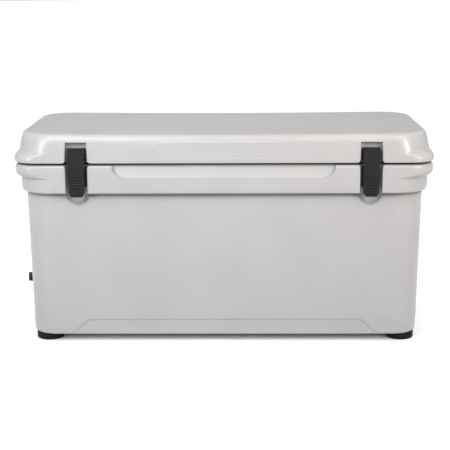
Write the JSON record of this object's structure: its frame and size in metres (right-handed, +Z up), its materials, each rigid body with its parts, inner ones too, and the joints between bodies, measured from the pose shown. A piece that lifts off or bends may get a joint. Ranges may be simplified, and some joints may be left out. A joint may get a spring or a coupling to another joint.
{
  "type": "cooler chest",
  "caption": "Rotomoulded insulated cooler chest with a hinged lid, front snap latches, moulded end grips, a screw-in drain plug and rubber feet.",
  "frame": {"origin": "centre of the footprint of the whole object, on the surface it stands on", "axes": "+X to the right seen from the latches, +Y to the hinge side, +Z up; the latches face -Y"},
  "size_m": [0.961, 0.455, 0.49],
  "materials": {
    "shell_plastic": "rotomoulded polyethylene, pale cool grey, satin gloss with a faint orange-peel texture",
    "black_nylon": "black moulded nylon, satin, fine texture",
    "foot_rubber": "black moulded rubber, matt",
    "seal_rubber": "dark grey soft rubber, matt",
    "steel": "stainless steel, turned"
  },
  "bodies": {
    "tub": {"body_shell": "shell_plastic", "body_port_plug": "shell_plastic", "foot_front_left": "foot_rubber", "foot_screw_front_left": "steel", "foot_front_right": "foot_rubber", "foot_screw_front_right": "steel", "foot_back_right": "foot_rubber", "foot_screw_back_right": "steel", "foot_back_left": "foot_rubber", "foot_screw_back_left": "steel", "drain_fitting": "black_nylon", "drain_nut": "black_nylon", "hinge_rod": "steel", "hinge_cap_left": "black_nylon", "hinge_cap_right": "black_nylon", "latch_keeper_left": "black_nylon", "keeper_screw_left_1": "steel", "keeper_screw_left_2": "steel", "latch_keeper_right": "black_nylon", "keeper_screw_right_1": "steel", "keeper_screw_right_2": "steel"},
    "lid": {"lid_shell": "shell_plastic", "lid_port_plug": "shell_plastic", "lid_seal": "seal_rubber", "latch_bracket_left": "black_nylon", "latch_pin_left": "steel", "bracket_screw_left_1": "steel", "bracket_screw_left_2": "steel", "latch_bracket_right": "black_nylon", "latch_pin_right": "steel", "bracket_screw_right_1": "steel", "bracket_screw_right_2": "steel"},
    "latch_left": {"latch_lever_left": "black_nylon"},
    "latch_right": {"latch_lever_right": "black_nylon"},
    "drain_washer": {"drain_seal": "seal_rubber"},
    "drain_screw": {"drain_plug": "black_nylon"}
  },
  "joints": [
    {"name": "lid_hinge", "type": "hinge", "parent": "tub", "child": "lid", "pos_m": [0.0055, 0.2155, 0.4215], "axis": [-1, 0, 0], "range_deg": [0, 100]},
    {"name": "latch_left_pivot", "type": "hinge", "parent": "lid", "child": "latch_left", "pos_m": [-0.324, -0.219, 0.4505], "axis": [-1, 0, 0], "range_deg": [0, 90]},
    {"name": "latch_right_pivot", "type": "hinge", "parent": "lid", "child": "latch_right", "pos_m": [0.335, -0.219, 0.4505], "axis": [-1, 0, 0], "range_deg": [0, 90]},
    {"name": "drain_travel", "type": "slide", "parent": "tub", "child": "drain_washer", "axis": [-1, 0, 0], "range_m": [0, 0.012]},
    {"name": "drain_spin", "type": "hinge", "parent": "drain_washer", "child": "drain_screw", "pos_m": [-0.46, 0.0025, 0.106], "axis": [-1, 0, 0], "range_deg": [0, 720]}
  ],
  "couplings": [
    {"joint": "drain_travel", "follows": "drain_spin", "m_per_rad": 0.00095492}
  ]
}
